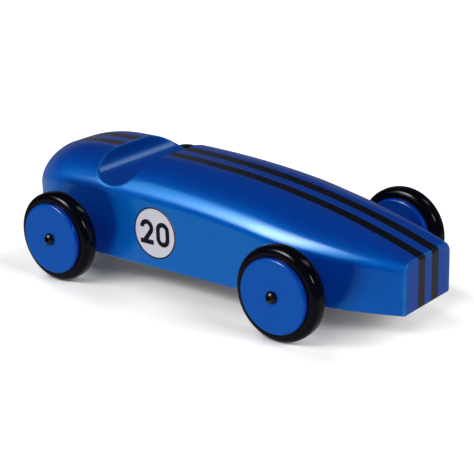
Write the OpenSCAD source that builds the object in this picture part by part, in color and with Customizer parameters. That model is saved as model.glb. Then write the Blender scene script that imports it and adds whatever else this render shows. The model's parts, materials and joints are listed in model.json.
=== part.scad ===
// Decorative wooden racing car on four free-running wheels.
//
// Frame: +X towards the nose, +Y to the car's left, +Z up. The origin is on the
// ground, half way along the body and half way across it.
//
// The body is one block of wood. A steel axle rod is pressed through it at each
// end. Both ends of a rod carry the same stack: washer, brass sleeve, and a
// button-head screw that clamps the two to the rod. The wheel, a turned disc
// with a rubber ring in its groove, runs freely on the sleeve.

/* [Body] */
// Length of the body from nose to tail
body_length = 385.4; // [370:0.2:400]
// Width between the flat sides of the body
body_width = 119; // [110:0.2:124]
// Height of the flat underside above the ground
underside_z = 18.4; // [14:0.1:24]
// Height of the highest point of the body above the ground
crown_z = 100.9; // [94:0.1:106]
// Radius of the soft edges round the nose face and along the underside
edge_radius = 1.5; // [0.8:0.1:2.5]

/* [Nose] */
// Width of the flat nose face
nose_width = 64.8; // [50:0.2:80]
// Height of the top edge of the nose face above the ground
nose_top_z = 59.6; // [54:0.2:68]
// Place along X where the flat sides start to draw in towards the nose
taper_start_x = 61.4; // [50:0.2:90]
// How late the sides draw in, where 1 is a straight taper
taper_power = 2; // [1:0.02:2.4]
// Place along X where the hood starts to fall towards the nose
hood_start_x = -83.5; // [-90:0.5:-40]
// How late the hood falls away, where 1 is a straight slope
hood_power = 2.44; // [1.4:0.02:3]

/* [Tail] */
// Place along X where the sides start to round in towards the tail
tail_round_x = -133.2; // [-145:0.2:-100]
// Place along X where the top starts to round down over the tail
tail_fall_x = -114; // [-130:0.2:-104]
// Height at which the top meets the upright edge of the tail
tail_edge_z = 53.6; // [40:0.2:60]
// Fullness of the tail seen from above, where 2 is an ellipse
tail_plan_power = 2; // [1.8:0.02:3]
// Fullness of the tail seen from the side, where 2 is an ellipse
tail_side_power = 2.55; // [1.9:0.01:3.2]

/* [Shoulders] */
// How far the rounded shoulder reaches in from the side, over most of the body
shoulder_reach = 40.8; // [30:0.2:50]
// How far the rounded shoulder reaches down from the top, over most of the body
shoulder_drop = 26.2; // [16:0.1:34]
// How far the rounded shoulder reaches in from the side, at the nose
nose_shoulder_reach = 6.3; // [5:0.1:16]
// How far the rounded shoulder reaches down from the top, at the nose
nose_shoulder_drop = 7.3; // [3:0.1:10]
// Place along X behind which the shoulder has its full size
shoulder_full_x = 83.8; // [70:0.2:120]
// How quickly the shoulder grows behind the nose, where 1 is evenly
shoulder_growth = 1.65; // [1:0.05:2.5]
// Fullness of the shoulder, where 2 is an ellipse
shoulder_power = 1.71; // [1.6:0.01:2.4]
// Fullness of the shoulders in the tail, where they meet
tail_shoulder_power = 2; // [1.9:0.01:2.4]

/* [Cockpit] */
// Place along X of the round cockpit groove, which runs straight across the body
cockpit_x = -79; // [-84:0.2:-70]
// Radius of the cockpit groove
cockpit_radius = 27.2; // [22:0.2:30]
// Height of the centre of the groove's radius above the ground
cockpit_centre_z = 108; // [104:0.2:112]

/* [Wheels] */
// Place along X of the front axle
front_axle_x = 116.6; // [110:0.2:122]
// Place along X of the rear axle
rear_axle_x = -113.4; // [-120:0.2:-110]
// Outer diameter of a tyre
tyre_diameter = 76; // [72:0.5:80]
// Diameter of a hub disc
hub_diameter = 60; // [56:0.5:62]
// Distance from the middle of the car to the outer face of a hub disc
hub_face_y = 96.7; // [94:0.1:104]
// Thickness of a hub disc
hub_thickness = 22.7; // [20:0.1:24]
// Radius of the hub disc's rounded edges
hub_edge_radius = 2; // [1:0.1:3]
// Width of a tyre
tyre_width = 15; // [13:0.1:16]
// Thickness of a tyre, from its bore to its tread
tyre_thickness = 13; // [12:0.1:14]
// Radius of a tyre's rounded corners
tyre_corner_radius = 5; // [3:0.1:5.5]

/* [Axles and screws] */
// Diameter of an axle rod
axle_diameter = 10; // [9:0.1:12]
// Outer diameter of the brass sleeve that a wheel runs on
sleeve_diameter = 8.5; // [8:0.1:9]
// Outer diameter of the washer at the inner end of the sleeve
washer_diameter = 16; // [13:0.5:20]
// Thickness of the washer
washer_thickness = 1; // [0.8:0.1:1.6]
// Nominal diameter of the screw, whose head and socket follow from it
screw_diameter = 6; // [5.6:0.1:6]
// Length of the screw under its head
screw_length = 40; // [35:1:44]

/* [Number roundels] */
// Place along X of the centre of the number roundels
roundel_x = -29.4; // [-42:0.2:10]
// Height of the centre of the number roundels above the ground
roundel_z = 49; // [45:0.5:49]
// Diameter of a roundel
roundel_diameter = 44; // [36:0.5:44]
// Width of the printed line round the roundel
roundel_line = 1.2; // [0.6:0.1:2]
// Height of a printed digit
digit_height = 21; // [16:0.5:22]
// Width of a printed digit
digit_width = 14; // [12:0.5:15]
// Width of a digit's strokes
digit_stroke = 4; // [2.5:0.1:4.5]

/* [Hidden] */
$fn = 96;

// Colours
lacquer_blue = [0.09, 0.34, 0.65];
tyre_black = [0.03, 0.03, 0.04];
oxide_black = [0.06, 0.06, 0.07];
roundel_white = [0.82, 0.82, 0.88];
print_black = [0.10, 0.10, 0.13];

// Body
nose_x = body_length / 2;
tail_x = -body_length / 2;
side_y = body_width / 2;
nose_side_y = nose_width / 2;
// The loft reaches this far below the underside, where a flat cut finishes it
underside_spare = 0.3;
loft_bottom_z = underside_z - underside_spare;
// The two shoulders never quite meet, so that each section keeps a sliver of flat top
widest_shoulder = 0.94;
tallest_shoulder = 0.95;
// The shoulders take on their full fullness where this share of the width is flat top
full_power_flat = 0.3;
// Steps round a shoulder, round a bottom edge and along the parts of the loft
shoulder_steps = 11;
edge_steps = 3;
nose_edge_steps = 4;
nose_steps = 18;
tail_steps = 20;
// Share of the tail's length that the loft covers, which leaves a narrow upright edge
tail_reach = 0.9998;

// Wheels and running gear
axle_z = tyre_diameter / 2;
tyre_mid_radius = (tyre_diameter - tyre_thickness) / 2;
hub_mid_y = hub_face_y - hub_thickness / 2;
end_play = 0.3;
sleeve_running_clearance = 0.05;
seat_clearance = 0.02;
press_clearance = 0.02;
screw_clearance = 0.1;
thread_clearance = 0.03;
hub_inner_y = hub_face_y - hub_thickness;
sleeve_start_y = hub_inner_y - end_play;
sleeve_length = hub_thickness + 2 * end_play;
screw_seat_y = sleeve_start_y + sleeve_length;
axle_end_y = sleeve_start_y - washer_thickness;
thread_spare_depth = 4;
thread_depth = screw_length - sleeve_length - washer_thickness + thread_spare_depth;

// Button-head screw, in the standard proportions of its nominal diameter
head_radius = 0.875 * screw_diameter;
head_height = 0.55 * screw_diameter;
head_top_radius = 0.48 * screw_diameter;
head_centre_drop = (pow(head_radius, 2) - pow(head_top_radius, 2) - pow(head_height, 2)) / (2 * head_height);
head_dome_radius = sqrt(pow(head_centre_drop, 2) + pow(head_radius, 2));
socket_flats = 0.667 * screw_diameter;
socket_depth = 0.36 * screw_diameter;
screw_tip_chamfer = 0.8;
axle_end_chamfer = 0.6;

// Roundels
foil_thickness = 0.25;
print_thickness = 0.1;
digit_gap = 3;

// Body shape -------------------------------------------------------------

function unit(v) = max(0, min(1, v));

// Falls from 1 to 0 as u goes from 0 to 1, along a superellipse
function superarc(u, power) = pow(1 - pow(u, power), 1 / power);

// Soft edge round the nose face: how far the section draws in near it
function nose_inset(x) =
    let (depth = edge_radius - min(edge_radius, nose_x - x))
    edge_radius - sqrt(max(0, pow(edge_radius, 2) - pow(depth, 2)));

function half_width(x) =
    let (taper = unit((x - taper_start_x) / (nose_x - taper_start_x)),
         tail = unit((tail_round_x - x) / (tail_round_x - tail_x)))
    (side_y - (side_y - nose_side_y) * pow(taper, taper_power)) * superarc(tail, tail_plan_power);

function top_z(x) =
    let (fall = unit((x - hood_start_x) / (nose_x - hood_start_x)),
         tail = unit((tail_fall_x - x) / (tail_fall_x - tail_x)),
         hood_z = crown_z - (crown_z - nose_top_z) * pow(fall, hood_power))
    tail_edge_z + (hood_z - tail_edge_z) * superarc(tail, tail_side_power);

// How much of the full shoulder a section has, from none at the nose to all of it
function shoulder_share(x) =
    1 - pow(1 - unit((nose_x - x) / (nose_x - shoulder_full_x)), shoulder_growth);

function blend(a, b, share) = a + (b - a) * share;

// Quarter of a bottom edge, from the underside up to the side
function edge_arc(x, width, bottom) = [
    for (i = [0 : edge_steps])
        let (angle = 90 * i / edge_steps, r = min(edge_radius, width / 2))
        [x, width - r + r * sin(angle), bottom + r - r * cos(angle)]
];

function section_power(width, reach) =
    blend(tail_shoulder_power, shoulder_power, unit((width - reach) / (full_power_flat * width)));

// Quarter of a shoulder, from the side up to the top
function shoulder_arc(x, width, top, reach, drop) = [
    for (i = [0 : shoulder_steps])
        let (angle = 90 * i / shoulder_steps,
             exponent = 2 / section_power(width, reach))
        [
            x,
            width - reach + reach * pow(cos(angle), exponent),
            top - drop + drop * pow(sin(angle), exponent)
        ]
];

// One closed section of the loft across the body at x, as seen from the nose
function body_section(x) =
    let (inset = nose_inset(x),
         width = half_width(x) - inset,
         top = top_z(x) - inset,
         bottom = loft_bottom_z + inset,
         share = shoulder_share(x),
         reach = min(blend(nose_shoulder_reach, shoulder_reach, share), widest_shoulder * width),
         drop = min(blend(nose_shoulder_drop, shoulder_drop, share), tallest_shoulder * (top - bottom)),
         left = concat(edge_arc(x, width, bottom), shoulder_arc(x, width, top, reach, drop)),
         last = len(left) - 1)
    concat(left, [for (i = [0 : last]) [x, -left[last - i][1], left[last - i][2]]]);

// Stations along the body: round the nose edge, along the hood, then round the tail
body_stations = concat(
    [for (i = [0 : nose_edge_steps - 1]) nose_x - edge_radius * (1 - cos(90 * i / nose_edge_steps))],
    [for (i = [0 : nose_steps - 1])
        nose_x - edge_radius - (nose_x - edge_radius - taper_start_x) * pow(i / nose_steps, 1.6)],
    [for (i = [0 : nose_steps - 1]) blend(taper_start_x, tail_round_x, i / nose_steps)],
    [for (i = [0 : tail_steps]) blend(tail_round_x, tail_x, sin(90 * i / tail_steps) * tail_reach)]
);

// Joins closed sections of equal length, nose first, into one solid
module loft(sections) {
    rings = len(sections);
    around = len(sections[0]);
    points = [for (section = sections) each section];
    nose_face = [for (i = [0 : around - 1]) around - 1 - i];
    tail_face = [for (i = [0 : around - 1]) (rings - 1) * around + i];
    skin = [
        for (r = [0 : rings - 2], i = [0 : around - 1])
            let (here = r * around + i,
                 next = r * around + (i + 1) % around)
            each [[here, next, next + around], [here, next + around, here + around]]
    ];
    polyhedron(points = points, faces = concat([nose_face], skin, [tail_face]));
}

module cross_bore(x, z, radius) {
    bore_length = 2 * body_width;
    translate([x, bore_length / 2, z]) rotate([90, 0, 0]) cylinder(h = bore_length, r = radius);
}

module below_underside() {
    cutter = 2 * body_length;
    translate([-cutter / 2, -cutter / 2, underside_z - cutter]) cube(cutter);
}

module body() {
    color(lacquer_blue)
    difference() {
        loft([for (x = body_stations) body_section(x)]);
        below_underside();
        cross_bore(cockpit_x, cockpit_centre_z, cockpit_radius);
        for (x = [front_axle_x, rear_axle_x]) cross_bore(x, axle_z, axle_diameter / 2 + press_clearance);
    }
}

// Running gear -----------------------------------------------------------

// Turns a stack drawn along +Z into place, so that +Z points out of the side
module at_wheel(x, side) {
    translate([x, 0, axle_z]) rotate([-90 * side, 0, 0]) children();
}

module rounded_box(width, height, radius) {
    square([width - 2 * radius, height], center = true);
    square([width, height - 2 * radius], center = true);
    for (i = [-1, 1], j = [-1, 1])
        translate([i * (width / 2 - radius), j * (height / 2 - radius)]) circle(r = radius);
}

// Section of a tyre at its place in the wheel, grown all round by a clearance
module tyre_section(clearance) {
    translate([tyre_mid_radius, hub_mid_y])
        rounded_box(tyre_thickness + 2 * clearance, tyre_width + 2 * clearance, tyre_corner_radius);
}

module axle(x) {
    color("silver")
    difference() {
        at_wheel(x, 1)
            rotate_extrude()
                polygon([
                    [0, -axle_end_y],
                    [axle_diameter / 2 - axle_end_chamfer, -axle_end_y],
                    [axle_diameter / 2, -axle_end_y + axle_end_chamfer],
                    [axle_diameter / 2, axle_end_y - axle_end_chamfer],
                    [axle_diameter / 2 - axle_end_chamfer, axle_end_y],
                    [0, axle_end_y]
                ]);
        for (side = [-1, 1])
            at_wheel(x, side)
                translate([0, 0, axle_end_y - thread_depth])
                    cylinder(h = thread_depth + 1, r = screw_diameter / 2 + thread_clearance);
    }
}

module tyre(x, side) {
    color(tyre_black) at_wheel(x, side) rotate_extrude() tyre_section(0);
}

module hub(x, side) {
    bore_radius = sleeve_diameter / 2 + sleeve_running_clearance;
    color(lacquer_blue)
    at_wheel(x, side)
        difference() {
            rotate_extrude()
                difference() {
                    intersection() {
                        translate([0, hub_mid_y]) rounded_box(hub_diameter, hub_thickness, hub_edge_radius);
                        translate([0, hub_inner_y]) square([hub_diameter, hub_thickness]);
                    }
                    tyre_section(seat_clearance);
                }
            translate([0, 0, hub_inner_y - 1]) cylinder(h = hub_thickness + 2, r = bore_radius);
        }
}

module ring(start_y, length, outer_diameter, inner_diameter) {
    translate([0, 0, start_y])
        difference() {
            cylinder(h = length, d = outer_diameter);
            translate([0, 0, -1]) cylinder(h = length + 2, d = inner_diameter);
        }
}

module sleeve(x, side) {
    color("goldenrod")
    at_wheel(x, side)
        ring(sleeve_start_y, sleeve_length, sleeve_diameter, screw_diameter + 2 * screw_clearance);
}

module washer(x, side) {
    color("gainsboro")
    at_wheel(x, side)
        ring(axle_end_y, washer_thickness, washer_diameter, screw_diameter + 2 * screw_clearance);
}

module screw(x, side) {
    color(oxide_black)
    at_wheel(x, side)
        translate([0, 0, screw_seat_y]) {
            difference() {
                intersection() {
                    translate([0, 0, -head_centre_drop]) sphere(r = head_dome_radius);
                    cylinder(h = head_height, r = 2 * head_radius);
                }
                translate([0, 0, head_height - socket_depth])
                    cylinder(h = head_height, d = socket_flats / cos(30), $fn = 6);
            }
            translate([0, 0, screw_tip_chamfer - screw_length])
                cylinder(h = screw_length - screw_tip_chamfer, d = screw_diameter);
            translate([0, 0, -screw_length])
                cylinder(
                    h = screw_tip_chamfer,
                    d1 = screw_diameter - 2 * screw_tip_chamfer,
                    d2 = screw_diameter
                );
        }
}

// Number roundels --------------------------------------------------------

// Puts a flat drawing on a side of the body, upright and readable from outside
module on_side(side, height) {
    translate([roundel_x, side * (side_y + height), roundel_z])
        rotate([90, 0, side > 0 ? 180 : 0])
            children();
}

// Upright oblong with round ends
module oblong(width, height) {
    square([width, height - width], center = true);
    for (end = [-1, 1])
        translate([0, end * (height - width) / 2]) circle(d = width);
}

// The digit drawings have their middle at the origin
module digit_0() {
    difference() {
        oblong(digit_width, digit_height);
        oblong(digit_width - 2 * digit_stroke, digit_height - 2 * digit_stroke);
    }
}

module digit_2() {
    outer = digit_width / 2;
    inner = outer - digit_stroke;
    bowl_v = digit_height / 2 - outer;
    foot_v = -digit_height / 2;
    // Angle at which the bowl runs out into the straight stroke
    leave = -38;
    along = [sin(leave), -cos(leave)];
    // The straight stroke starts this far inside the bowl, so that they join
    lap = 0.2;
    leave_outer = [outer * cos(leave), bowl_v + outer * sin(leave)] - lap * along;
    leave_inner = [inner * cos(leave), bowl_v + inner * sin(leave)] - lap * along;
    outer_run = (leave_outer[1] - foot_v) / cos(leave);
    inner_run = (leave_inner[1] - foot_v) / cos(leave);
    intersection() {
        square([digit_width, digit_height], center = true);
        union() {
            difference() {
                translate([0, bowl_v]) circle(r = outer);
                translate([0, bowl_v]) circle(r = inner);
                polygon([
                    [0, bowl_v],
                    [-digit_width, bowl_v],
                    [-digit_width, foot_v],
                    [digit_width * cos(leave), bowl_v + digit_width * sin(leave) + foot_v],
                    [digit_width * cos(leave), bowl_v + digit_width * sin(leave)]
                ]);
            }
            polygon([
                leave_inner,
                leave_outer,
                leave_outer + outer_run * along,
                leave_inner + inner_run * along
            ]);
            translate([-digit_width / 2, foot_v]) square([digit_width, digit_stroke]);
        }
    }
}

// The print is a line round the edge and a plain number, laid on the white disc
module number_drawing() {
    difference() {
        circle(d = roundel_diameter);
        circle(d = roundel_diameter - 2 * roundel_line);
    }
    digit_step = (digit_width + digit_gap) / 2;
    translate([-digit_step, 0]) digit_2();
    translate([digit_step, 0]) digit_0();
}

module roundel(side) {
    color(roundel_white)
    on_side(side, 0)
        linear_extrude(foil_thickness)
            circle(d = roundel_diameter);
}

module number(side) {
    color(print_black)
    on_side(side, foil_thickness)
        linear_extrude(print_thickness)
            number_drawing();
}

body();
axle(front_axle_x);  // front_axle
axle(rear_axle_x);  // rear_axle
tyre(front_axle_x, 1);  // front_left_tyre
hub(front_axle_x, 1);  // front_left_hub
sleeve(front_axle_x, 1);  // front_left_sleeve
washer(front_axle_x, 1);  // front_left_washer
screw(front_axle_x, 1);  // front_left_screw
tyre(front_axle_x, -1);  // front_right_tyre
hub(front_axle_x, -1);  // front_right_hub
sleeve(front_axle_x, -1);  // front_right_sleeve
washer(front_axle_x, -1);  // front_right_washer
screw(front_axle_x, -1);  // front_right_screw
tyre(rear_axle_x, 1);  // rear_left_tyre
hub(rear_axle_x, 1);  // rear_left_hub
sleeve(rear_axle_x, 1);  // rear_left_sleeve
washer(rear_axle_x, 1);  // rear_left_washer
screw(rear_axle_x, 1);  // rear_left_screw
tyre(rear_axle_x, -1);  // rear_right_tyre
hub(rear_axle_x, -1);  // rear_right_hub
sleeve(rear_axle_x, -1);  // rear_right_sleeve
washer(rear_axle_x, -1);  // rear_right_washer
screw(rear_axle_x, -1);  // rear_right_screw
roundel(1);  // left_roundel
number(1);  // left_number
roundel(-1);  // right_roundel
number(-1);  // right_number
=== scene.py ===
"""Looks for the wooden racing car: lacquered body, turned wheels, rubber rings and printed roundels.

Lengths are in metres in the shared frame: +X towards the nose, +Y to the car's left, +Z up.
"""

import json
import math

import bmesh
import bpy
from mathutils import Matrix, Vector


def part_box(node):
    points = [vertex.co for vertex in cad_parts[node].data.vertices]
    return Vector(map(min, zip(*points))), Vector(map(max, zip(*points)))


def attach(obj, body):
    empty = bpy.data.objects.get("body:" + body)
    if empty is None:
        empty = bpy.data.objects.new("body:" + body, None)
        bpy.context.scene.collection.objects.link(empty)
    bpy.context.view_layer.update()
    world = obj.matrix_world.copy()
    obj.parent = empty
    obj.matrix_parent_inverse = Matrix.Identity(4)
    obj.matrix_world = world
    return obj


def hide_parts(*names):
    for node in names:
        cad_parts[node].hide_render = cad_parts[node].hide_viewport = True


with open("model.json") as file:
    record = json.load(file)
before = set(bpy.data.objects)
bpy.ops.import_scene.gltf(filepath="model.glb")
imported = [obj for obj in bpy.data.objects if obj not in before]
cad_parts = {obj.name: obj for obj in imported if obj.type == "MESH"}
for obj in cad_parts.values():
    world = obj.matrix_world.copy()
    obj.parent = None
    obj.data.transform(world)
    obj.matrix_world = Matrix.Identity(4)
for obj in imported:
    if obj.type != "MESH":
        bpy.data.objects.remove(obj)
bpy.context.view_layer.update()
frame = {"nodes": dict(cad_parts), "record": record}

MM = 0.001

# ---------------------------------------------------------------- camera

CAMERA_PLACE = Vector((0.72875, -0.9047, 0.4429))
CAMERA_TARGET = Vector((0.02634, -0.02246, 0.0460))
CAMERA_ROLL = math.radians(-1.41)
CAMERA_LENS = 111.94
CAMERA_SENSOR = 36.0
CAMERA_CLIP = (0.05, 50.0)


def make_camera():
    data = bpy.data.cameras.new("camera")
    data.lens = CAMERA_LENS
    data.sensor_width = CAMERA_SENSOR
    data.clip_start, data.clip_end = CAMERA_CLIP
    camera = bpy.data.objects.new("camera", data)
    bpy.context.scene.collection.objects.link(camera)
    look = (CAMERA_TARGET - CAMERA_PLACE).to_track_quat("-Z", "Y").to_matrix().to_4x4()
    camera.matrix_world = Matrix.Translation(CAMERA_PLACE) @ look @ Matrix.Rotation(CAMERA_ROLL, 4, "Z")
    bpy.context.scene.camera = camera


# ---------------------------------------------------------------- body shape, in millimetres

body_low, body_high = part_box("body")
NOSE_X = body_high.x / MM
TAIL_X = body_low.x / MM
SIDE_Y = body_high.y / MM
CROWN_Z = body_high.z / MM
UNDERSIDE_Z = body_low.z / MM

EDGE_RADIUS = 1.5
NOSE_SIDE_Y = 32.4
NOSE_TOP_Z = 59.6
TAPER_START_X = 61.4
TAPER_POWER = 2.0
HOOD_START_X = -83.5
HOOD_POWER = 2.44
TAIL_ROUND_X = -133.2
TAIL_FALL_X = -114.0
TAIL_EDGE_Z = 53.6
TAIL_PLAN_POWER = 2.0
TAIL_SIDE_POWER = 2.55
SHOULDER_REACH = 40.8
SHOULDER_DROP = 26.2
NOSE_SHOULDER_REACH = 6.3
NOSE_SHOULDER_DROP = 7.3
SHOULDER_FULL_X = 83.8
SHOULDER_GROWTH = 1.65
SHOULDER_POWER = 1.71
TAIL_SHOULDER_POWER = 2.0
WIDEST_SHOULDER = 0.94
TALLEST_SHOULDER = 0.95
FULL_POWER_FLAT = 0.3
COCKPIT_X = -79.0
COCKPIT_RADIUS = 27.2
COCKPIT_CENTRE_Z = 108.0
LIP_SOFTNESS = 2.4
TINY = 1e-6


def unit(value):
    """The value, held between 0 and 1."""
    return max(0.0, min(1.0, value))


def blend(a, b, share):
    return a + (b - a) * share


def superarc(u, power):
    """Falls from 1 to 0 as u goes from 0 to 1, along a superellipse."""
    return max(0.0, 1.0 - u**power) ** (1.0 / power)


def half_width(x):
    """Half of the body's width at x, from the side's taper and the tail's round."""
    taper = unit((x - TAPER_START_X) / (NOSE_X - TAPER_START_X))
    tail = unit((TAIL_ROUND_X - x) / (TAIL_ROUND_X - TAIL_X))
    return (SIDE_Y - (SIDE_Y - NOSE_SIDE_Y) * taper**TAPER_POWER) * superarc(tail, TAIL_PLAN_POWER)


def top_z(x):
    """Height of the body's uncut top along its middle."""
    fall = unit((x - HOOD_START_X) / (NOSE_X - HOOD_START_X))
    tail = unit((TAIL_FALL_X - x) / (TAIL_FALL_X - TAIL_X))
    hood = CROWN_Z - (CROWN_Z - NOSE_TOP_Z) * fall**HOOD_POWER
    return TAIL_EDGE_Z + (hood - TAIL_EDGE_Z) * superarc(tail, TAIL_SIDE_POWER)


def nose_inset(x):
    """How far the rounded edge of the nose face draws the outline in."""
    depth = EDGE_RADIUS - min(EDGE_RADIUS, NOSE_X - x)
    return EDGE_RADIUS - math.sqrt(max(0.0, EDGE_RADIUS**2 - depth**2))


def groove_z(x):
    """Height of the cockpit groove's floor, or of its centre, above the body, where there is no groove."""
    inside = COCKPIT_RADIUS**2 - (x - COCKPIT_X) ** 2
    return COCKPIT_CENTRE_Z - math.sqrt(inside) if inside > 0 else COCKPIT_CENTRE_Z


def soft_min(a, b, softness):
    """The lower of two heights, with a rounded change from one to the other."""
    overlap = max(softness - abs(a - b), 0.0)
    return min(a, b) - overlap**2 / (4.0 * softness)


class Section:
    """The body's outline across X at one station, without the groove."""

    def __init__(self, x):
        inset = nose_inset(x)
        grown = (NOSE_X - x) / (NOSE_X - SHOULDER_FULL_X)
        share = 1.0 - (1.0 - unit(grown)) ** SHOULDER_GROWTH
        self.width = max(0.0, half_width(x) - inset)
        self.top = top_z(x) - inset
        self.bottom = UNDERSIDE_Z + inset
        reach = blend(NOSE_SHOULDER_REACH, SHOULDER_REACH, share)
        drop = blend(NOSE_SHOULDER_DROP, SHOULDER_DROP, share)
        self.reach = min(reach, WIDEST_SHOULDER * self.width)
        self.drop = min(drop, TALLEST_SHOULDER * (self.top - self.bottom))
        flat = (self.width - self.reach) / (FULL_POWER_FLAT * self.width) if self.width > TINY else 0.0
        self.power = blend(TAIL_SHOULDER_POWER, SHOULDER_POWER, unit(flat))

    def shoulder(self, angle):
        """Point (y, z) of the left shoulder, at angle 0 on the side and a right angle on top."""
        exponent = 2.0 / self.power
        y = self.width - self.reach + self.reach * max(0.0, math.cos(angle)) ** exponent
        z = self.top - self.drop + self.drop * math.sin(angle) ** exponent
        return y, z

    def height(self, y):
        """Height of the uncut top surface at y."""
        if self.reach < TINY:
            return self.top
        out = unit((y - (self.width - self.reach)) / self.reach)
        return self.top - self.drop + self.drop * superarc(out, self.power)

    def cut_angle(self, floor_z):
        """Angle along the shoulder at which it meets the groove's floor."""
        if floor_z >= self.top:
            return math.pi / 2
        share = unit((floor_z - (self.top - self.drop)) / self.drop)
        return math.asin(min(1.0, share ** (self.power / 2.0)))


def eased(count):
    """Shares from 0 up to 1 that crowd at both ends."""
    return [0.5 - 0.5 * math.cos(math.pi * i / count) for i in range(count)]


UNDER_STEPS = 5
EDGE_STEPS = 6
SIDE_STEPS = 14
SHOULDER_STEPS = 46
TOP_STEPS = 20
NOSE_EDGE_STEPS = 8
HOOD_STEPS = 110
GROOVE_STEPS = 72
TAIL_STEPS = 84
NOSE_FACE_RINGS = 6


def half_ring(x):
    """Left half of the body's outline at x, from the middle of the underside to the middle of the top."""
    s = Section(x)
    floor_z = groove_z(x)

    def grooved(z):
        return soft_min(z, floor_z, LIP_SOFTNESS) if floor_z < COCKPIT_CENTRE_Z else z

    radius = min(EDGE_RADIUS, s.width / 2)
    points = [((s.width - radius) * i / UNDER_STEPS, s.bottom) for i in range(UNDER_STEPS)]
    for i in range(EDGE_STEPS):
        angle = math.pi / 2 * i / EDGE_STEPS
        y = s.width - radius + radius * math.sin(angle)
        z = s.bottom + radius - radius * math.cos(angle)
        points.append((y, z))
    side_top = s.top - s.drop
    for share in eased(SIDE_STEPS):
        points.append((s.width, blend(s.bottom + radius, side_top, share)))
    end = s.cut_angle(floor_z)
    for share in eased(SHOULDER_STEPS):
        y, z = s.shoulder(end * share)
        points.append((y, grooved(z)))
    end_y, _ = s.shoulder(end)
    for i in range(TOP_STEPS + 1):
        share = 1.0 - math.cos(math.pi / 2 * i / TOP_STEPS)
        y = end_y * (1.0 - share)
        points.append((y, grooved(s.height(y))))
    return points


# Share of the painted highlight on the groove's front lip, against the rear lip's.
FRONT_LIP_HIGHLIGHT = 0.5


def edge_highlight_share(point):
    """How near a point of the body is to the groove's lips or to the nose's edges, from 0 to 1: the share of
    the painted highlight there.
    """
    x, y, z = point / MM
    s = Section(x)
    if abs(x - COCKPIT_X) < COCKPIT_RADIUS:
        lip = unit(1.0 - abs(s.height(abs(y)) - groove_z(x)) / LIP_SOFTNESS)
        return lip if x < COCKPIT_X else FRONT_LIP_HIGHLIGHT * lip
    if x < NOSE_X - 3 * EDGE_RADIUS:
        return 0.0
    inside = min(s.width - abs(y), s.height(abs(y)) - z) if x < NOSE_X else EDGE_RADIUS
    return unit(1.0 - abs(NOSE_X - x - 0.5 * EDGE_RADIUS) / EDGE_RADIUS) * unit(1.0 - inside)


def body_stations():
    """Places along X of the body's outlines, from the nose to the tail."""
    mouth = math.sqrt(COCKPIT_RADIUS**2 - (COCKPIT_CENTRE_Z - CROWN_Z) ** 2)
    front_lip = COCKPIT_X + mouth
    rear_lip = COCKPIT_X - mouth
    turns = [math.pi / 2 * i / NOSE_EDGE_STEPS for i in range(NOSE_EDGE_STEPS)]
    xs = [NOSE_X - EDGE_RADIUS * (1 - math.cos(turn)) for turn in turns]
    xs += [blend(NOSE_X - EDGE_RADIUS, front_lip, share) for share in eased(HOOD_STEPS)]
    xs += [blend(front_lip, rear_lip, share) for share in eased(GROOVE_STEPS)]
    xs += [blend(rear_lip, TAIL_X, share) for share in eased(TAIL_STEPS)]
    return xs + [TAIL_X]


SHARP_DEGREES = 32.0
WELD = 1e-7


def new_object(name, bm):
    """A smooth-shaded object from a bmesh in metres, with its sharp edges kept."""
    bmesh.ops.remove_doubles(bm, verts=bm.verts, dist=WELD)
    bmesh.ops.recalc_face_normals(bm, faces=bm.faces)
    mesh = bpy.data.meshes.new(name)
    bm.to_mesh(mesh)
    bm.free()
    for polygon in mesh.polygons:
        polygon.use_smooth = True
    mesh.set_sharp_from_angle(angle=math.radians(SHARP_DEGREES))
    made = bpy.data.objects.new(name, mesh)
    bpy.context.scene.collection.objects.link(made)
    return made


def bridge(bm, ring_a, ring_b, closed=True):
    """Quads between two rows of vertices of the same length."""
    count = len(ring_a)
    for i in range(count if closed else count - 1):
        j = (i + 1) % count
        bm.faces.new([ring_a[i], ring_a[j], ring_b[j], ring_b[i]])


def make_body():
    """The wooden block with its groove, from outlines across it and a ringed nose face."""
    bm = bmesh.new()
    rings = []
    for x in body_stations():
        half = half_ring(x)
        outline = half + [(-y, z) for y, z in reversed(half[1:-1])]
        rings.append([bm.verts.new((x * MM, y * MM, z * MM)) for y, z in outline])
    for ring_a, ring_b in zip(rings, rings[1:]):
        bridge(bm, ring_a, ring_b)
    centre = Vector((NOSE_X, 0.0, (UNDERSIDE_Z + NOSE_TOP_Z) / 2)) * MM
    outer = rings[0]
    for k in range(1, NOSE_FACE_RINGS + 1):
        share = 1.0 - k / (NOSE_FACE_RINGS + 1)
        inner = [bm.verts.new(centre.lerp(vert.co, share)) for vert in rings[0]]
        bridge(bm, inner, outer)
        outer = inner
    bm.faces.new(list(reversed(outer)))
    # Each vertex holds its share of the painted highlight along the lips and the nose's edges.
    painted_highlight = bm.verts.layers.float.new("painted_highlight")
    for vert in bm.verts:
        vert[painted_highlight] = edge_highlight_share(vert.co)
    return new_object("body_shell", bm)


def cut(piece, cutter):
    """Takes the cutter's volume out of the piece, and removes the cutter."""
    modifier = piece.modifiers.new("cut", "BOOLEAN")
    modifier.operation = "DIFFERENCE"
    modifier.solver = "EXACT"
    modifier.object = cutter
    bpy.context.view_layer.update()
    evaluated = piece.evaluated_get(bpy.context.evaluated_depsgraph_get())
    mesh = bpy.data.meshes.new_from_object(evaluated)
    piece.modifiers.remove(modifier)
    piece.data = mesh
    bpy.data.objects.remove(cutter)


# ---------------------------------------------------------------- turned pieces

AROUND = 192
TYRE_AROUND = 256
SCREW_AROUND = 96
BORE_AROUND = 96


def axis_frame(origin, side):
    """Turns a piece drawn round +Z into place, so that +Z points out of that side of the car."""
    return Matrix.Translation(origin) @ Matrix.Rotation(math.radians(-90.0 * side), 4, "X")


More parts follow.
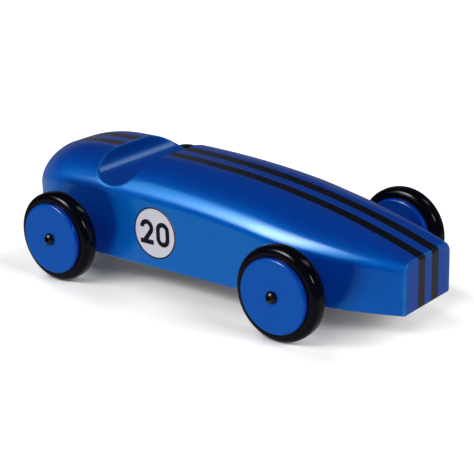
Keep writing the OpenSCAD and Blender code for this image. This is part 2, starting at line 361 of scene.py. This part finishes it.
def turned(name, profile, place, around=AROUND, closed=True):
    """A piece turned from (radius, height) points in millimetres, in order round its section."""
    bm = bmesh.new()
    columns = []
    for i in range(around):
        angle = 2 * math.pi * i / around
        spoke = Vector((math.cos(angle), math.sin(angle), 0.0))
        points = [spoke * r + Vector((0.0, 0.0, h)) for r, h in profile]
        columns.append([bm.verts.new(place @ (point * MM)) for point in points])
    for i in range(around):
        bridge(bm, columns[i], columns[(i + 1) % around], closed)
    return new_object(name, bm)


def arc(centre, radius, start, end, steps):
    """Points on an arc, with the angles in degrees."""
    angles = [math.radians(blend(start, end, i / steps)) for i in range(steps + 1)]
    return [(centre[0] + radius * math.cos(a), centre[1] + radius * math.sin(a)) for a in angles]


# ---------------------------------------------------------------- wheels

TYRE_THICKNESS = 13.0
TYRE_POWER = 3.0
TYRE_STEPS = 72
HUB_EDGE = 2.0
HUB_EDGE_STEPS = 12
HUB_FACE_STEPS = 8
BORE_EDGE = 0.5
BORE_EDGE_STEPS = 4
RUNNING_GAP = 0.05
SEAT_CURVE = 5.0
SEAT_STEPS = 10
SEAT_BREAK = 0.3
SEAT_GAP = 0.02


def wheel_sizes(wheel):
    """Sizes of one wheel's pieces in millimetres, from their boxes, measured outwards along Y."""
    tyre_low, tyre_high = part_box(wheel + "_tyre")
    hub_low, hub_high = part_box(wheel + "_hub")
    sleeve_low, sleeve_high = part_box(wheel + "_sleeve")
    side = 1 if hub_low.y > 0 else -1
    span = sorted(abs(y) / MM for y in (hub_low.y, hub_high.y))
    tyre_span = sorted(abs(y) / MM for y in (tyre_low.y, tyre_high.y))
    return {
        "side": side,
        "origin": Vector(((hub_low.x + hub_high.x) / 2, 0.0, (hub_low.z + hub_high.z) / 2)),
        "tyre_radius": (tyre_high.z - tyre_low.z) / 2 / MM,
        "hub_radius": (hub_high.z - hub_low.z) / 2 / MM,
        "hub_inner": span[0],
        "hub_outer": span[1],
        "tyre_inner": tyre_span[0],
        "tyre_outer": tyre_span[1],
        "sleeve_radius": (sleeve_high.z - sleeve_low.z) / 2 / MM,
    }


def tyre_profile(w):
    """Section of the rubber ring: a superellipse, fuller than an oval."""
    half_thick = TYRE_THICKNESS / 2
    half_wide = (w["tyre_outer"] - w["tyre_inner"]) / 2
    mid_radius = w["tyre_radius"] - half_thick
    mid_height = (w["tyre_outer"] + w["tyre_inner"]) / 2
    exponent = 2.0 / TYRE_POWER
    points = []
    for i in range(TYRE_STEPS):
        angle = 2 * math.pi * i / TYRE_STEPS
        c, s = math.cos(angle), math.sin(angle)
        radius = mid_radius + half_thick * math.copysign(abs(c) ** exponent, c)
        height = mid_height + half_wide * math.copysign(abs(s) ** exponent, s)
        points.append((radius, height))
    return points


def hub_profile(w):
    """Section of the turned disc, with soft edges, a seat for the tyre and an eased bore."""
    bore = w["sleeve_radius"] + RUNNING_GAP
    outer, inner, radius = w["hub_outer"], w["hub_inner"], w["hub_radius"]
    seat_radius = w["tyre_radius"] - TYRE_THICKNESS
    top_seat, low_seat = w["tyre_outer"] + SEAT_GAP, w["tyre_inner"] - SEAT_GAP
    face_start, face_end = bore + BORE_EDGE, radius - HUB_EDGE
    face = [blend(face_start, face_end, i / HUB_FACE_STEPS) for i in range(1, HUB_FACE_STEPS)]
    points = [(bore, inner + BORE_EDGE), (bore, outer - BORE_EDGE)]
    points += arc((face_start, outer - BORE_EDGE), BORE_EDGE, 180, 90, BORE_EDGE_STEPS)[1:]
    points += [(r, outer) for r in face]
    points += arc((face_end, outer - HUB_EDGE), HUB_EDGE, 90, 0, HUB_EDGE_STEPS)
    points += [(radius, top_seat + SEAT_BREAK), (radius - SEAT_BREAK, top_seat)]
    points += arc((seat_radius + SEAT_CURVE, top_seat - SEAT_CURVE), SEAT_CURVE, 90, 180, SEAT_STEPS)
    points += arc((seat_radius + SEAT_CURVE, low_seat + SEAT_CURVE), SEAT_CURVE, 180, 270, SEAT_STEPS)
    points += [(radius - SEAT_BREAK, low_seat), (radius, low_seat - SEAT_BREAK)]
    points += arc((face_end, inner + HUB_EDGE), HUB_EDGE, 0, -90, HUB_EDGE_STEPS)
    points += [(r, inner) for r in reversed(face)]
    points += arc((face_start, inner + BORE_EDGE), BORE_EDGE, 270, 180, BORE_EDGE_STEPS)[:-1]
    return points


# Shares of the thread's diameter, about as on a standard button-head screw.
SCREW_HEAD_RADIUS = 0.875
SCREW_HEAD_HEIGHT = 0.55
SCREW_CROWN_RADIUS = 0.48
SOCKET_FLATS = 0.667
SOCKET_DEPTH = 0.36
# In millimetres, apart from the trims in degrees.
TIP_BREAK = 0.8
HEAD_EDGE = 0.25
DOME_START_TRIM = 2.5
DOME_END_TRIM = 3.0
DOME_STEPS = 14
SOCKET_CONE = 0.6
SOCKET_LAND = 0.75
SOCKET_RISE = 0.05
SOCKET_BREAK = 0.3
SOCKET_BREAK_DEPTH = 0.25
CUTTER_REACH = 1.0


def make_screw(name, w, node):
    """Button-head screw with a hexagon socket, an eased head edge and a plain shank."""
    low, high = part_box(node)
    head_radius = (high.z - low.z) / 2 / MM
    tip, crown = sorted(abs(y) / MM for y in (low.y, high.y))
    diameter = head_radius / SCREW_HEAD_RADIUS
    head_height = SCREW_HEAD_HEIGHT * diameter
    seat = crown - head_height
    flat_radius = SCREW_CROWN_RADIUS * diameter
    drop = (head_radius**2 - flat_radius**2 - head_height**2) / (2 * head_height)
    dome = math.hypot(drop, head_radius)
    start = math.degrees(math.atan2(drop, head_radius))
    end = math.degrees(math.atan2(drop + head_height, flat_radius))
    shank = diameter / 2
    profile = [(0.0, tip), (shank - TIP_BREAK, tip), (shank, tip + TIP_BREAK), (shank, seat)]
    profile += [(head_radius - HEAD_EDGE, seat)]
    profile += arc((0.0, seat - drop), dome, start + DOME_START_TRIM, end - DOME_END_TRIM, DOME_STEPS)
    profile += [(flat_radius - HEAD_EDGE, crown), (0.0, crown)]
    place = axis_frame(w["origin"], w["side"])
    screw = turned(name, profile, place, SCREW_AROUND, closed=False)
    corner = SOCKET_FLATS * diameter / 2 / math.cos(math.radians(30))
    mouth = corner + SOCKET_BREAK
    bottom = crown - SOCKET_DEPTH * diameter
    socket = [(0.0, bottom - SOCKET_CONE), (corner * SOCKET_LAND, bottom), (corner, bottom + SOCKET_RISE)]
    socket += [(corner, crown - SOCKET_BREAK_DEPTH), (mouth, crown + SOCKET_RISE)]
    socket += [(mouth, crown + CUTTER_REACH), (0.0, crown + CUTTER_REACH)]
    cut(screw, turned(name + "_socket", socket, place, 6, closed=False))
    return screw


# ---------------------------------------------------------------- materials

class Net:
    """Short ways to add and join the shader nodes of one material, in the object's own coordinates."""

    def __init__(self, name):
        self.material = bpy.data.materials.new(name)
        self.material.use_nodes = True
        self.nodes = self.material.node_tree.nodes
        self.links = self.material.node_tree.links
        self.shader = self.nodes["Principled BSDF"]
        self.place = self.nodes.new("ShaderNodeTexCoord").outputs["Object"]

    def put(self, socket, value):
        if isinstance(value, bpy.types.NodeSocket):
            self.links.new(value, socket)
        else:
            socket.default_value = value

    def math(self, operation, a, b=0.0, clamp=False):
        node = self.nodes.new("ShaderNodeMath")
        node.operation = operation
        node.use_clamp = clamp
        self.put(node.inputs[0], a)
        self.put(node.inputs[1], b)
        return node.outputs[0]

    def axis(self, name):
        node = self.nodes.new("ShaderNodeSeparateXYZ")
        self.links.new(self.place, node.inputs[0])
        return node.outputs[name]

    def stretched(self, scale):
        node = self.nodes.new("ShaderNodeMapping")
        node.inputs["Scale"].default_value = scale
        self.links.new(self.place, node.inputs["Vector"])
        return node.outputs[0]

    def noise(self, scale, detail=3.0, roughness=0.5, vector=None):
        node = self.nodes.new("ShaderNodeTexNoise")
        node.inputs["Scale"].default_value = scale
        node.inputs["Detail"].default_value = detail
        node.inputs["Roughness"].default_value = roughness
        self.links.new(vector or self.place, node.inputs["Vector"])
        return node.outputs["Fac"]

    def attribute(self, name):
        node = self.nodes.new("ShaderNodeAttribute")
        node.attribute_name = name
        return node.outputs["Fac"]

    def spread(self, value, low, high, from_low=0.3, from_high=0.7):
        """Maps the value from one range to another; noise mostly lies between 0.3 and 0.7."""
        node = self.nodes.new("ShaderNodeMapRange")
        node.inputs["From Min"].default_value = from_low
        node.inputs["From Max"].default_value = from_high
        node.inputs["To Min"].default_value = low
        node.inputs["To Max"].default_value = high
        self.links.new(value, node.inputs["Value"])
        return node.outputs[0]

    def mix(self, share, a, b):
        node = self.nodes.new("ShaderNodeMix")
        node.data_type = "RGBA"
        self.put(node.inputs["Factor"], share)
        self.put(node.inputs["A"], a)
        self.put(node.inputs["B"], b)
        return node.outputs["Result"]

    def bump(self, height, distance, strength=1.0, under=None):
        node = self.nodes.new("ShaderNodeBump")
        node.inputs["Distance"].default_value = distance
        node.inputs["Strength"].default_value = strength
        self.links.new(height, node.inputs["Height"])
        if under is not None:
            self.links.new(under, node.inputs["Normal"])
        return node.outputs[0]

    def set(self, **values):
        """Sets or links sockets of the shader, with _ for each space in their names."""
        for name, value in values.items():
            self.put(self.shader.inputs[name.replace("_", " ")], value)


def rgb(red, green, blue):
    """A colour for a shader's socket, in linear light."""
    return (red, green, blue, 1.0)


LACQUER_BLUE = rgb(0.001, 0.066, 0.50)
LACQUER_DEEP = rgb(0.001, 0.062, 0.48)
# Light cyan of the painted highlight along the groove's lips and the nose's edges.
LACQUER_HIGHLIGHT = rgb(0.02, 0.26, 0.66)
STRIPE_BLACK = rgb(0.004, 0.004, 0.007)
HUB_BLUE = rgb(0.003, 0.052, 0.46)
HUB_DEEP = rgb(0.003, 0.048, 0.44)
LACQUER_MIRROR = rgb(0.0, 0.7, 1.0)
STRIPE_MIRROR = rgb(0.2, 0.2, 0.2)
LACQUER_METAL = 0.03
COAT = 0.45
COAT_ROUGHNESS = 0.08
STRIPE_INNER = 4.75 * MM
STRIPE_OUTER = 14.6 * MM
STRIPE_EDGE = 0.08 * MM
GROOVE_MARGIN = 0.5
UNDERSIDE_MARGIN = 0.6


def stripe_mask(net):
    """1 on the two painted bands, which stop at the groove's lips and at the underside."""
    across = net.math("ABSOLUTE", net.axis("Y"))
    inner = net.math("DIVIDE", net.math("SUBTRACT", across, STRIPE_INNER), STRIPE_EDGE, clamp=True)
    outer = net.math("DIVIDE", net.math("SUBTRACT", STRIPE_OUTER, across), STRIPE_EDGE, clamp=True)
    band = net.math("MULTIPLY", inner, outer)
    dx = net.math("SUBTRACT", net.axis("X"), COCKPIT_X * MM)
    dz = net.math("SUBTRACT", net.axis("Z"), COCKPIT_CENTRE_Z * MM)
    squares = net.math("ADD", net.math("MULTIPLY", dx, dx), net.math("MULTIPLY", dz, dz))
    clear_of_groove = net.math("GREATER_THAN", squares, ((COCKPIT_RADIUS + GROOVE_MARGIN) * MM) ** 2)
    above = net.math("GREATER_THAN", net.axis("Z"), (UNDERSIDE_Z + UNDERSIDE_MARGIN) * MM)
    return net.math("MULTIPLY", net.math("MULTIPLY", band, clear_of_groove), above)


def body_lacquer():
    """Blue lacquer with cloudy colour, grain, flake and orange peel; a painted highlight along the groove's
    lips and the nose's edges; two black stripes.
    """
    net = Net("body_lacquer")
    stripes = stripe_mask(net)
    cloud = net.noise(18.0, 2.0)
    blue = net.mix(net.spread(cloud, 0.0, 1.0), LACQUER_BLUE, LACQUER_DEEP)
    # Painted highlight: the lacquer turns light cyan along the lips and the nose's edges, broken up by
    # noise.
    edge_highlight = net.math("MULTIPLY", net.attribute("painted_highlight"), net.spread(net.noise(90.0, 3.0), 0.25, 0.65))
    blue = net.mix(edge_highlight, blue, LACQUER_HIGHLIGHT)
    colour = net.mix(stripes, blue, STRIPE_BLACK)
    flake = net.noise(5200.0, 1.0)
    peel = net.noise(420.0, 2.0)
    grain = net.noise(60.0, 4.0, 0.6, net.stretched((0.12, 1.0, 1.0)))
    rough = net.math("ADD", net.spread(grain, 0.32, 0.36), net.spread(flake, -0.015, 0.015))
    metal = net.spread(stripes, LACQUER_METAL, 0.0, 0.0, 1.0)
    normal = net.bump(peel, 0.00002, 0.35)
    normal = net.bump(grain, 0.00003, 0.3, normal)
    tint = net.mix(stripes, LACQUER_MIRROR, STRIPE_MIRROR)
    net.set(Base_Color=colour, Roughness=rough, Metallic=metal, Normal=normal, Specular_Tint=tint)
    net.shader.inputs["Specular IOR Level"].default_value = 0.45
    net.shader.inputs["Coat Weight"].default_value = COAT
    net.shader.inputs["Coat Roughness"].default_value = COAT_ROUGHNESS
    return net.material


def hub_lacquer():
    """The discs' lacquer: plainer than the body's, without grain."""
    net = Net("hub_lacquer")
    cloud = net.noise(40.0, 2.0)
    colour = net.mix(net.spread(cloud, 0.0, 1.0), HUB_BLUE, HUB_DEEP)
    peel = net.noise(380.0, 2.0)
    net.set(Base_Color=colour, Roughness=net.spread(peel, 0.36, 0.40), Metallic=LACQUER_METAL,
            Normal=net.bump(peel, 0.00001, 0.3))
    net.shader.inputs["Specular IOR Level"].default_value = 0.0
    net.shader.inputs["Coat Weight"].default_value = COAT
    net.shader.inputs["Coat Roughness"].default_value = COAT_ROUGHNESS
    return net.material


def tyre_rubber():
    """Glossy black rubber with a trace of dust."""
    net = Net("tyre_rubber")
    dust = net.noise(900.0, 3.0)
    net.set(Base_Color=rgb(0.003, 0.003, 0.007), Roughness=net.spread(dust, 0.08, 0.13),
            Normal=net.bump(net.noise(300.0, 2.0), 0.00002, 0.2))
    net.shader.inputs["Specular IOR Level"].default_value = 0.15
    return net.material


def metal(name, colour, roughness, scale=(1.0, 1.0, 1.0)):
    """Bare metal with turning marks, drawn out where the scale is small."""
    net = Net(name)
    marks = net.noise(1800.0, 3.0, 0.6, net.stretched(scale))
    net.set(Base_Color=colour, Metallic=1.0, Roughness=net.spread(marks, roughness - 0.06, roughness + 0.06),
            Normal=net.bump(marks, 0.00002, 0.3))
    return net.material


def screw_black():
    """Blackened steel with a faint grain."""
    net = Net("screw_black")
    marks = net.noise(2600.0, 3.0)
    net.set(Base_Color=rgb(0.004, 0.004, 0.005), Roughness=net.spread(marks, 0.18, 0.30),
            Normal=net.bump(marks, 0.00002, 0.3))
    net.shader.inputs["Specular IOR Level"].default_value = 0.5
    return net.material


def printed(name, colour, other, roughness, gloss=0.5):
    """Foil or print in two near colours, in fine specks."""
    net = Net(name)
    specks = net.noise(3000.0, 2.0)
    net.set(Base_Color=net.mix(net.spread(specks, 0.0, 1.0), colour, other),
            Roughness=net.spread(specks, roughness - 0.05, roughness + 0.05),
            Normal=net.bump(specks, 0.00001, 0.3))
    net.shader.inputs["Specular IOR Level"].default_value = gloss
    return net.material


FOIL_WHITE = rgb(0.80, 0.775, 0.90)
FOIL_GREY = rgb(0.76, 0.74, 0.86)
PRINT_BLACK = rgb(0.006, 0.006, 0.012)
PRINT_GREY = rgb(0.009, 0.009, 0.016)
STEEL = rgb(0.55, 0.55, 0.57)
ZINC = rgb(0.58, 0.58, 0.60)
BRASS = rgb(0.66, 0.47, 0.18)
MATERIALS = {
    "body_lacquer": body_lacquer(),
    "hub_lacquer": hub_lacquer(),
    "tyre_rubber": tyre_rubber(),
    "axle_steel": metal("axle_steel", STEEL, 0.3, (1.0, 0.1, 1.0)),
    "washer_steel": metal("washer_steel", ZINC, 0.34),
    "sleeve_brass": metal("sleeve_brass", BRASS, 0.28),
    "screw_black": screw_black(),
    "roundel_white": printed("roundel_white", FOIL_WHITE, FOIL_GREY, 0.4),
    "number_print": printed("number_print", PRINT_BLACK, PRINT_GREY, 0.45, 0.1),
}


def finish_piece(piece, slot, carrier, node):
    """Gives a piece its material and its body, and hides the CAD node that it stands for."""
    piece.data.materials.clear()
    piece.data.materials.append(MATERIALS[slot])
    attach(piece, carrier)
    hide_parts(node)


# ---------------------------------------------------------------- stage

FLOOR_SIZE = 12.0
FLOOR_WHITE = rgb(0.9, 0.9, 0.9)


def make_floor():
    """A pale floor with the car's shadow on it, that neither lights the car nor shows in its gloss."""
    bpy.ops.mesh.primitive_plane_add(size=FLOOR_SIZE, location=(0.0, 0.0, 0.0))
    floor = bpy.context.object
    floor.name = "floor"
    net = Net("floor_paint")
    net.set(Base_Color=FLOOR_WHITE, Roughness=0.9, Specular_IOR_Level=0.0)
    floor.data.materials.append(net.material)
    floor.visible_diffuse = False
    floor.visible_glossy = False
    floor.visible_shadow = False
    return floor


class Softbox:
    """A distant rectangular studio lamp, in degrees: even, or with a fade brightest at a hot spot inside it.

    A fade goes down to the rim's share of the light, over its own distance to the left, to the right and
    up or down. It and the hot spot are tangents of the angle from the lamp's middle.
    """

    def __init__(self, azimuth, elevation, width, height, radiance, rim=1.0, hot=(0.0, 0.0), fade=None):
        az, el = math.radians(azimuth), math.radians(elevation)
        self.forward = (math.cos(el) * math.cos(az), math.cos(el) * math.sin(az), math.sin(el))
        self.right = (-math.sin(az), math.cos(az), 0.0)
        self.up = (-math.sin(el) * math.cos(az), -math.sin(el) * math.sin(az), math.cos(el))
        self.half_width = math.tan(math.radians(width / 2))
        self.half_height = math.tan(math.radians(height / 2))
        self.radiance = radiance
        self.rim = rim
        self.hot = hot
        self.fade = fade


SOFTBOXES = [
    Softbox(-118.0, 42.0, 46.0, 40.0, 30.0, rim=0.0, hot=(0.075, 0.02), fade=(0.155, 0.10, 0.23)),
    Softbox(70.0, 42.0, 9.0, 16.0, 2.4),
    Softbox(8.0, 29.0, 9.0, 14.0, 20.0),
]
LAMP_EDGE = 0.03
HORIZON = 0.16
HORIZON_TOP = 26.0
HORIZON_LOW = 14.0
HORIZON_AZIMUTH = 128.0
GROUND = 0.32
GROUND_TOP = -5.0
GROUND_FULL = -17.0
AMBIENT = 0.015
FAR_SIDE_EDGES = (0.2, 0.6)


def sine(degrees):
    return math.sin(math.radians(degrees))


class Sky:
    """What the glossy surfaces mirror: a dim room with a pale glow low on its far side, a pale ground
    below the horizon, and the softboxes. It lights nothing else.
    """

    def __init__(self):
        world = bpy.data.worlds.new("studio")
        world.use_nodes = True
        world.cycles_visibility.diffuse = False
        self.nodes = world.node_tree.nodes
        self.links = world.node_tree.links
        self.direction = self.nodes.new("ShaderNodeTexCoord").outputs["Generated"]
        height = self.dot((0.0, 0.0, 1.0))
        low = self.step(height, sine(HORIZON_TOP), sine(HORIZON_LOW))
        ground = self.step(height, sine(GROUND_TOP), sine(GROUND_FULL))
        away = math.radians(HORIZON_AZIMUTH)
        far_side = self.step(self.dot((math.cos(away), math.sin(away), 0.0)), *FAR_SIDE_EDGES)
        glow = self.math("MULTIPLY", low, far_side)
        light = self.math("MULTIPLY_ADD", glow, HORIZON - AMBIENT, AMBIENT)
        missing = self.math("SUBTRACT", GROUND, light)
        light = self.math("ADD", light, self.math("MULTIPLY", ground, missing))
        for box in SOFTBOXES:
            light = self.math("ADD", light, self.lamp(box))
        self.links.new(light, self.nodes["Background"].inputs["Strength"])
        self.nodes["Background"].inputs["Color"].default_value = rgb(1.0, 1.0, 1.0)
        bpy.context.scene.world = world

    def math(self, operation, a, b=0.0, c=0.0):
        node = self.nodes.new("ShaderNodeMath")
        node.operation = operation
        for socket, value in zip(node.inputs, (a, b, c)):
            if isinstance(value, bpy.types.NodeSocket):
                self.links.new(value, socket)
            else:
                socket.default_value = value
        return node.outputs[0]

    def dot(self, vector):
        node = self.nodes.new("ShaderNodeVectorMath")
        node.operation = "DOT_PRODUCT"
        self.links.new(self.direction, node.inputs[0])
        node.inputs[1].default_value = vector
        return node.outputs["Value"]

    def step(self, value, low, high):
        """Rises smoothly from 0 at low to 1 at high."""
        node = self.nodes.new("ShaderNodeMapRange")
        node.interpolation_type = "SMOOTHSTEP"
        node.inputs["From Min"].default_value = low
        node.inputs["From Max"].default_value = high
        self.links.new(value, node.inputs["Value"])
        return node.outputs[0]

    def within(self, value, limit):
        """1 where the value lies within the limit on both sides, with a soft edge."""
        return self.step(self.math("ABSOLUTE", value), limit + LAMP_EDGE, limit - LAMP_EDGE)

    def lamp(self, box):
        """The light of one softbox in this direction."""
        forward = self.math("MAXIMUM", self.dot(box.forward), 0.001)
        across = self.math("DIVIDE", self.dot(box.right), forward)
        along = self.math("DIVIDE", self.dot(box.up), forward)
        wide = self.within(across, box.half_width)
        tall = self.within(along, box.half_height)
        mask = self.math("MULTIPLY", self.math("MULTIPLY", wide, tall), box.radiance)
        if box.fade is None:
            return mask
        left, right, height = box.fade
        aside = self.math("SUBTRACT", across, box.hot[0])
        dx = self.math("MAXIMUM", self.math("DIVIDE", aside, -left), self.math("DIVIDE", aside, right))
        dy = self.math("DIVIDE", self.math("SUBTRACT", along, box.hot[1]), height)
        squares = self.math("MULTIPLY_ADD", dx, dx, self.math("MULTIPLY", dy, dy))
        bell = self.math("EXPONENT", self.math("MULTIPLY", squares, -0.5))
        return self.math("MULTIPLY", mask, self.math("MULTIPLY_ADD", bell, 1.0 - box.rim, box.rim))


def link_light(light, things, only):
    """Makes a light fall on those things only, or on all but those things."""
    group = bpy.data.collections.new(light.name + "_group")
    light.light_linking.receiver_collection = group
    for thing in things:
        group.objects.link(thing)
    for linked in group.collection_objects:
        linked.light_linking.link_state = "INCLUDE" if only else "EXCLUDE"


def towards(azimuth, elevation):
    """Direction from the car, with azimuth 0 ahead of it and 90 to its left."""
    az, el = math.radians(azimuth), math.radians(elevation)
    return Vector((math.cos(el) * math.cos(az), math.cos(el) * math.sin(az), math.sin(el)))


SUN_DISTANCE = 3.0


def new_light(name, kind, direction, distance, strength, colour):
    """A light at that distance, aimed at the middle of the frame."""
    data = bpy.data.lights.new(name, kind)
    data.energy = strength
    data.color = colour
    light = bpy.data.objects.new(name, data)
    bpy.context.scene.collection.objects.link(light)
    light.location = direction * distance
    light.rotation_euler = (-direction).to_track_quat("-Z", "Y").to_euler()
    return light


def soft_sun(name, azimuth, elevation, spread, strength, colour=(1.0, 1.0, 1.0)):
    """A wide distant lamp that gloss doesn't mirror."""
    light = new_light(name, "SUN", towards(azimuth, elevation), SUN_DISTANCE, strength, colour)
    light.data.angle = math.radians(spread)
    light.visible_glossy = False
    return light


def glow_panel(name, azimuth, elevation, width, height, distance, radiance, colour):
    """A panel that only gloss mirrors."""
    light = new_light(name, "AREA", towards(azimuth, elevation), distance, 1.0, colour)
    light.data.shape = "RECTANGLE"
    light.data.size = 2 * distance * math.tan(math.radians(width / 2))
    light.data.size_y = 2 * distance * math.tan(math.radians(height / 2))
    light.data.energy = radiance * math.pi * light.data.size * light.data.size_y
    light.visible_diffuse = False
    light.visible_camera = False
    return light


# Distant lamps as azimuth, elevation, spread and strength.
FLOOR_LAMPS = [
    (20.0, 20.0, 32.0, 1.9),
    (80.0, 20.0, 32.0, 2.4),
    (0.0, 30.0, 32.0, 1.6),
    (160.0, 40.0, 32.0, 1.75),
    (-120.0, 40.0, 32.0, 1.6),
    (-80.0, 50.0, 32.0, 0.9),
]
KEY = (-65.0, 56.0, 80.0, 1.62)
FILL = (110.0, 20.0, 90.0, 0.45)
SIDE_BOUNCE = (120.0, -22.0, 40.0, 1.7)
LACQUER_BOUNCES = [
    (101.0, -22.0, 20.0, 2.8),
    (128.0, -22.0, 20.0, 1.4),
]
NOSE_BOUNCE = (10.0, -22.0, 60.0, 1.3)
TAIL_BOUNCE = (180.0, -22.0, 60.0, 1.0)
BOUNCE_BLUE = (0.2, 1.0, 0.47)
# Panels as azimuth, elevation, width, height, distance and radiance.
NEAR_PANEL = (-111.0, 47.0, 56.0, 26.0, 0.7, 4.2)
NEAR_PANEL_COLOUR = (0.3, 0.88, 0.9)
FAR_PANEL = (70.0, 42.0, 12.0, 18.0, 3.0, 1.5)
FAR_PANEL_COLOUR = (0.3, 0.8, 1.0)


def make_lights(floor, body, hubs):
    """Lamps for the floor; for the car a key lamp, a fill, and what the floor sends back at it."""
    lacquered = [body, *hubs]
    Sky()
    for lamp in FLOOR_LAMPS:
        link_light(soft_sun("floor_lamp", *lamp), [floor], True)
    link_light(soft_sun("key", *KEY), [floor], False)
    link_light(soft_sun("fill", *FILL), [floor], False)
    for side in (-1, 1):
        azimuth, *rest = SIDE_BOUNCE
        link_light(soft_sun("side_bounce", azimuth * side, *rest), [floor, *lacquered], False)
        for azimuth, *rest in LACQUER_BOUNCES:
            bounce = soft_sun("lacquer_bounce", azimuth * side, *rest, colour=BOUNCE_BLUE)
            link_light(bounce, lacquered, True)
    link_light(soft_sun("nose_bounce", *NOSE_BOUNCE), [floor], False)
    link_light(soft_sun("tail_bounce", *TAIL_BOUNCE), [floor], False)
    link_light(glow_panel("near_panel", *NEAR_PANEL, NEAR_PANEL_COLOUR), lacquered, True)
    link_light(glow_panel("far_panel", *FAR_PANEL, FAR_PANEL_COLOUR), [body], True)
    bpy.context.scene.view_settings.view_transform = "Standard"


# ---------------------------------------------------------------- assembly

BORE_GAP = 0.02

make_camera()

body = make_body()
for axle in ("front_axle", "rear_axle"):
    low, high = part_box(axle)
    radius = (high.z - low.z) / 2 / MM + BORE_GAP
    reach = 2 * SIDE_Y
    place = axis_frame(Vector(((low.x + high.x) / 2, 0.0, (low.z + high.z) / 2)), 1)
    rod = [(0.0, -reach), (radius, -reach), (radius, reach), (0.0, reach)]
    cut(body, turned("bore", rod, place, BORE_AROUND, closed=False))
finish_piece(body, "body_lacquer", "chassis", "body")
body.visible_diffuse = False

hubs = []
for end in ("front", "rear"):
    for hand in ("left", "right"):
        wheel = f"{end}_{hand}"
        sizes = wheel_sizes(wheel)
        place = axis_frame(sizes["origin"], sizes["side"])
        tyre = turned(wheel + "_ring", tyre_profile(sizes), place, TYRE_AROUND)
        finish_piece(tyre, "tyre_rubber", wheel + "_wheel", wheel + "_tyre")
        hub = turned(wheel + "_disc", hub_profile(sizes), place)
        finish_piece(hub, "hub_lacquer", wheel + "_wheel", wheel + "_hub")
        hubs.append(hub)
        screw = make_screw(wheel + "_button_screw", sizes, wheel + "_screw")
        finish_piece(screw, "screw_black", "chassis", wheel + "_screw")

slot_of = {part["node"]: part["material_slot"] for part in frame["record"]["subparts"]}
for name, node in frame["nodes"].items():
    if not node.hide_render:
        node.data.materials.clear()
        node.data.materials.append(MATERIALS[slot_of[name]])

make_lights(make_floor(), body, hubs)
